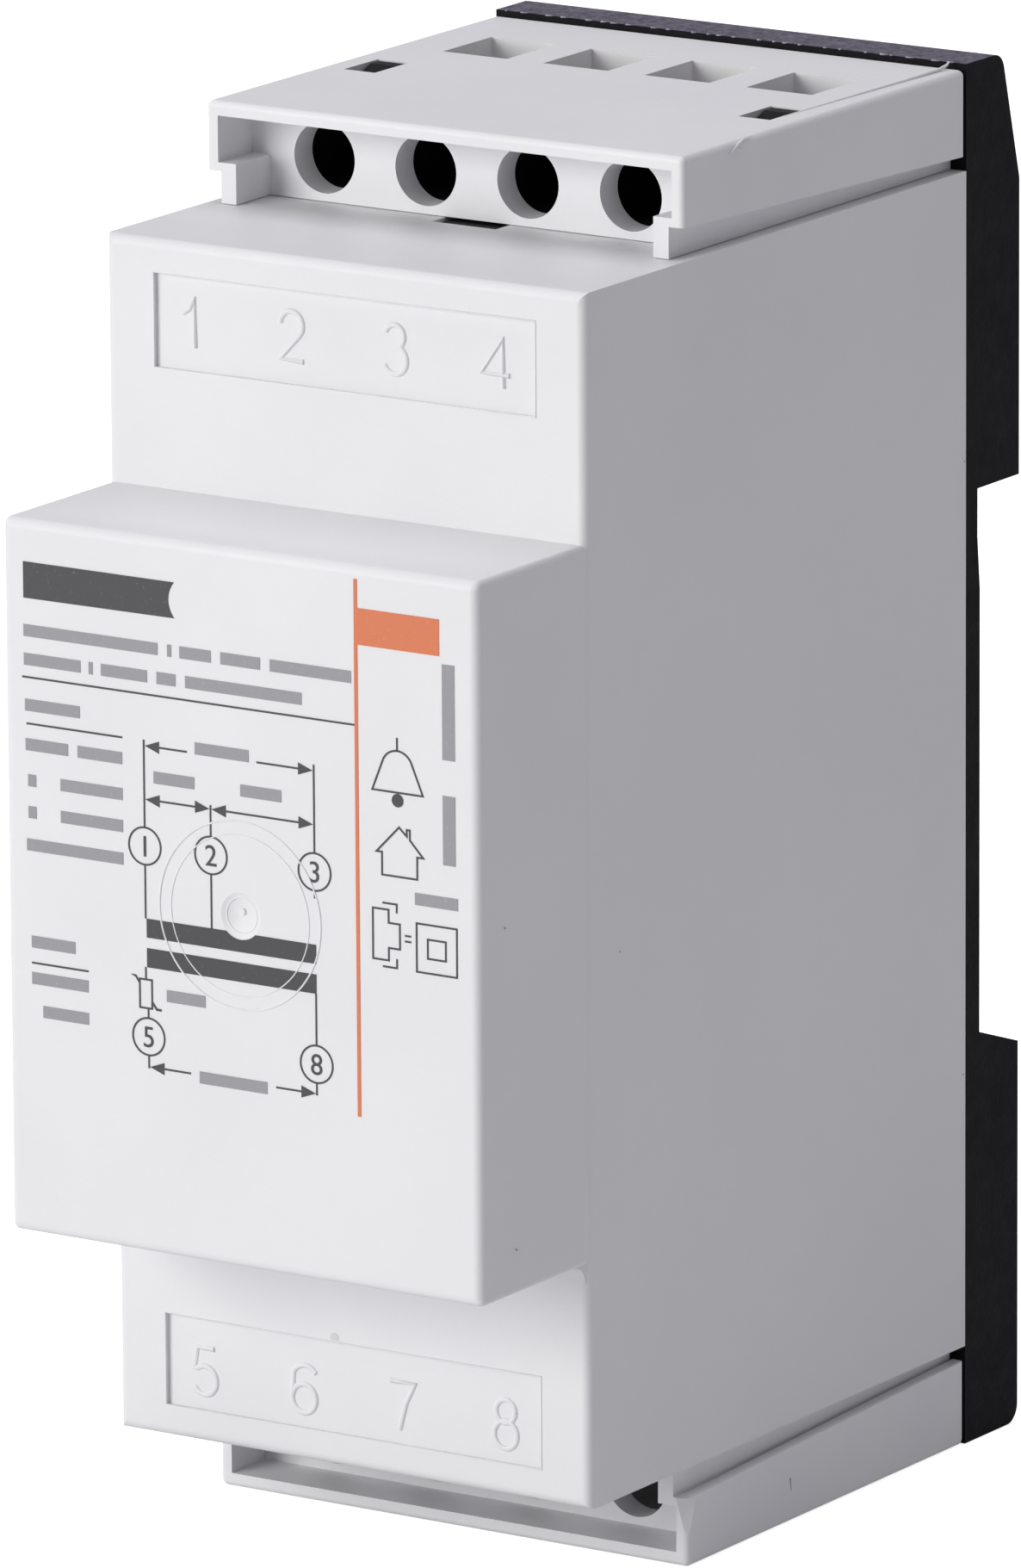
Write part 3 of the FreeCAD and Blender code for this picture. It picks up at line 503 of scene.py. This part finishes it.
def numeral(text, x, z, height, name):
    """A printed numeral, centred on x, with its foot at z."""
    deselect()
    bpy.ops.object.text_add(location=(0, 0, 0))
    piece = bpy.context.view_layer.objects.active
    piece.data.body = text
    piece.data.align_x = "CENTER"
    # A numeral of this font is 0.70 of its size high
    piece.data.size = height / 0.70 * MM
    piece.data.extrude = (INK + SINK) / 2 * MM
    piece.data.resolution_u = 6
    bpy.ops.object.convert(target="MESH")
    piece = bpy.context.view_layer.objects.active
    stand_up(piece, x, z, label_y)
    return settle(piece, name, dark_ink)


numeral_height = 1.32
for text, (x, z) in circles.items():
    numeral(text, x, z - numeral_height / 2, numeral_height, "circled_number_%s" % text)

# Raised numerals, drawn as strokes 3.3 mm tall from their own foot and then made a little smaller
strokes = {
    1: [[(-0.65, 2.25), (-0.1, 2.6), (0.35, 3.3), (0.35, 0.0)]],
    2: [arc(0.0, 2.38, 0.94, 175, -38, 12) + [(-0.92, 0.05), (0.98, 0.0)]],
    3: [arc(-0.03, 2.53, 0.78, 160, -72, 12), arc(0.0, 0.95, 0.96, 76, -155, 14)],
    4: [[(0.5, 0.0), (0.5, 3.3), (-1.3, 0.88), (1.0, 0.88)]],
    5: [[(0.8, 3.3), (-0.6, 3.3), (-0.85, 1.85)] + arc(0.0, 1.05, 1.0, 128, -150, 14)],
    6: [arc(0.08, 2.2, 1.12, 35, 150, 8) + arc(0.0, 1.0, 1.0, 165, 540, 22)],
    7: [[(-1.05, 3.3), (1.05, 3.3), (0.25, 1.9), (-0.3, 0.0)]],
    8: [arc(0.0, 2.53, 0.8, 0, 360, 20), arc(0.0, 0.92, 0.96, 0, 360, 22)],
}
numeral_x = {1: -11.4, 2: -3.98, 3: 3.58, 4: 11.0, 5: -11.2, 6: -3.77, 7: 3.57, 8: 11.13}
upper_foot_z = 31.5
lower_foot_z = -35.1
stroke_width = 0.88
stroke_height = 0.93
stroke_radius = 0.22
stroke_y = panel_floor_y + 0.08
for number, lines in strokes.items():
    x = numeral_x[number]
    z = upper_foot_z if number < 5 else lower_foot_z
    strands("raised_numeral_%d" % number,
            [([(x + stroke_width * dx, stroke_y, z + stroke_height * dz) for dx, dz in line],
              stroke_radius, False) for line in lines],
            grey_abs)


# The edge of each sunk number panel, a fine raised bead: so far from the case's side, and from the shelf
panel_side = half_width - 3.55
panel_near = shelf_z - 2.05
panel_far = shelf_z - 8.0
for name, low, high in (("upper", panel_far, panel_near), ("lower", -panel_near, -panel_far)):
    corners = [(-panel_side, low), (panel_side, low), (panel_side, high), (-panel_side, high)]
    strands("%s_panel_bead" % name, [([(x, terminal_front_y, z) for x, z in corners], 0.055, True)],
            grey_abs)
# A soft grey smudge above the lower panel
printed("grey_smudge", [[circle(-1.28, -29.82, 0.3, 24)]], smudge_grey, terminal_front_y)


def ring_line(x, z, radius, y, thickness, steps=72):
    """A round line on a front face."""
    return [(px, y, pz) for px, pz in circle(x, z, radius, steps)], thickness, True


# Witness lines of the tool's round insert, and the rim and stub that the gate leaves in its dimple
insert_x = -0.05
outer_ring = ring_line(insert_x, dimple_z, 5.9, label_y, 0.07)
inner_ring = ring_line(insert_x, dimple_z, 5.05, label_y, 0.05)
strands("insert_witness_rings", [outer_ring, inner_ring], grey_abs)
rim = ring_line(0.0, dimple_z, 1.12, label_y + 0.15, 0.05, steps=36)
stub = ([(insert_x, label_y + 0.45, -0.1), (insert_x, label_y + 0.2, -0.1)], [0.32, 0.22], False)
strands("gate_stub", [rim, stub], grey_abs)

# The soft hollow under the nose, where it meets the lower terminal front. Its section, in Y and Z, laps
# into the nose and the front, and its ends stay inside the case's rounded edges
hollow_radius = 1.2
lap = 0.2
end_gap = 0.3
centre_y = terminal_front_y - hollow_radius
centre_z = -nose_half_height - hollow_radius
section = arc(centre_y, centre_z, hollow_radius, 90, 0, 14)
section += [(terminal_front_y + lap, centre_z), (terminal_front_y + lap, lap - nose_half_height),
            (centre_y, lap - nose_half_height)]
hollow = sheet("nose_root_hollow", [section], 2 * (half_width - end_gap))
# Turned so that the section lies in Y and Z and its thickness along X
hollow.rotation_euler = Matrix(((0, 0, 1), (1, 0, 0), (0, 1, 0))).to_euler()
settle(hollow, "nose_root_hollow", grey_abs)

# Flash on the upper cover: a curl on the roof's right edge, its tail, and a thin ridge that ends in a
# spike at the rear
curl = [(half_width + 0.02, -29.4, 43.85), (half_width + 0.08, -29.0, 44.02),
        (half_width + 0.10, -28.4, 44.33), (half_width - 0.05, -27.6, 44.48),
        (half_width - 0.1, -26.6, 44.52)]
tail = [(half_width + 0.06, -28.7, 44.1), (half_width + 0.1, -28.3, 43.95),
        (half_width + 0.02, -27.9, 43.9)]
ridge = [(15.8, -20.3, roof_z), (16.0, -14.0, roof_z + 0.02), (16.25, -7.0, roof_z + 0.04),
         (16.38, -3.2, roof_z + 0.1), (16.42, -2.3, roof_z + 0.25), (16.42, -1.95, roof_z + 0.42)]
strands("cover_flash", [(curl, [0.02, 0.05, 0.08, 0.07, 0.03], False), (tail, [0.05, 0.04, 0.02], False),
                        (ridge, [0.03, 0.06, 0.09, 0.12, 0.10, 0.03], False)],
        cover_abs)

# Pale scuffs along the front upper edge of the base, where it has been handled. Places step by the golden
# ratio, and lengths by another share, so that no rhythm shows
scuff_z = base_top_z - 0.03
scuff_reach = 16.8
scuffs = []
for i in range(26):
    x = 2 * scuff_reach * ((i * 0.618) % 1.0) - scuff_reach
    length = 0.15 + 0.5 * ((i * 0.37) % 1.0)
    ends = [(x, seam_y + 0.06, scuff_z), (x + length, seam_y + 0.04, scuff_z)]
    scuffs.append((ends, [0.07, 0.04], False))
strands("base_edge_scuffs", scuffs, scuff_white)

# Dark specks and a short scratch on the right side: dark strands for pits and a groove, their darkness
# painted shade
speck_places = ((-54.73, 0.7), (-42.02, -3.49), (-53.67, -19.61), (-1.9, 19.55), (-1.95, -20.16))
specks = [([(half_width - 0.05, y, z), (half_width + 0.01, y, z)], 0.07, False) for y, z in speck_places]
scratch = ([(half_width, -22.63, -41.62), (half_width, -22.5, -42.44)], [0.05, 0.03], False)
strands("side_specks", specks + [scratch], mid_ink)

# Floor, light and camera. The floor lies just below the underside, so that they share no plane
floor_gap = 0.05
bpy.ops.mesh.primitive_plane_add(size=6.0, location=(0, 0, (lowest_z - floor_gap) * MM))
floor = bpy.context.view_layer.objects.active
floor.name = "floor"
material, tree = new_material("pale_floor_paper")
paths = node(tree, "ShaderNodeLightPath")
seen = node(tree, "ShaderNodeMath",
            links={0: paths.outputs["Is Camera Ray"], 1: paths.outputs["Is Transmission Ray"]},
            operation="MAXIMUM")
# What the eye sees of the paper is lifted to white, and the object isn't lit by it
lift = node(tree, "ShaderNodeMath", {1: 0.78}, {0: seen}, operation="MULTIPLY")
glow = node(tree, "ShaderNodeEmission", links={"Strength": lift})
paper = node(tree, "ShaderNodeBsdfDiffuse", {"Color": tone("#F2F2F4")})
both = node(tree, "ShaderNodeAddShader", links={0: glow, 1: paper})
node(tree, "ShaderNodeOutputMaterial", links={"Surface": both})
floor.data.materials.append(material)

# The air's strength is 1, white, for the eye, and these on the object and in its reflections
air_on_object = 0.216
air_in_gloss = 0.75
world = bpy.data.worlds.new("studio_air")
bpy.context.scene.world = world
world.use_nodes = True
tree = world.node_tree
tree.nodes.clear()
paths = node(tree, "ShaderNodeLightPath")
mirrored = node(tree, "ShaderNodeMapRange", {"To Min": air_on_object, "To Max": air_in_gloss},
                {"Value": paths.outputs["Is Glossy Ray"]})
air = node(tree, "ShaderNodeMapRange",
           links={"Value": paths.outputs["Is Camera Ray"], "To Min": mirrored})
sky = node(tree, "ShaderNodeBackground", {"Color": tone("#FBFAFF")}, {"Strength": air})
node(tree, "ShaderNodeOutputWorld", links={"Surface": sky})


def softbox(name, place, size, watts, colour):
    """A square soft light, with its place and size in metres, that faces the middle of the object."""
    light = bpy.data.lights.new(name, "AREA")
    light.size = size
    light.energy = watts
    light.color = tone(colour)[:3]
    lamp = bpy.data.objects.new(name, light)
    bpy.context.scene.collection.objects.link(lamp)
    lamp.location = place
    lamp.rotation_euler = (Vector((0, -0.025, 0)) - Vector(place)).to_track_quat("-Z", "Y").to_euler()


softbox("key_softbox", (-0.64, -1.22, 0.38), 0.8, 13.2, "#FFFEFC")
softbox("top_softbox", (0.0, 0.14, 1.38), 1.0, 8.4, "#FBF9FF")

# The photo's viewing angle, worked out from 19 corners of the object: the camera's axes, and its place
# in metres. The lens is long, so the object's edges are nearly parallel
right = Vector((0.83755, 0.54633, -0.00589))
up = Vector((-0.12387, 0.20038, 0.97186))
back = Vector((0.53213, -0.81325, 0.23551))
camera_place = Vector((0.51365, -0.81233, 0.22908))
camera_data = bpy.data.cameras.new("photo_camera")
camera_data.sensor_fit = "VERTICAL"
camera_data.sensor_height = 36.0
camera_data.lens = 356.29
camera = bpy.data.objects.new("photo_camera", camera_data)
bpy.context.scene.collection.objects.link(camera)
camera_turn = Matrix((right, up, back)).transposed().to_4x4()
camera.matrix_world = Matrix.Translation(camera_place) @ camera_turn
bpy.context.scene.camera = camera
bpy.context.scene.view_settings.view_transform = "Standard"
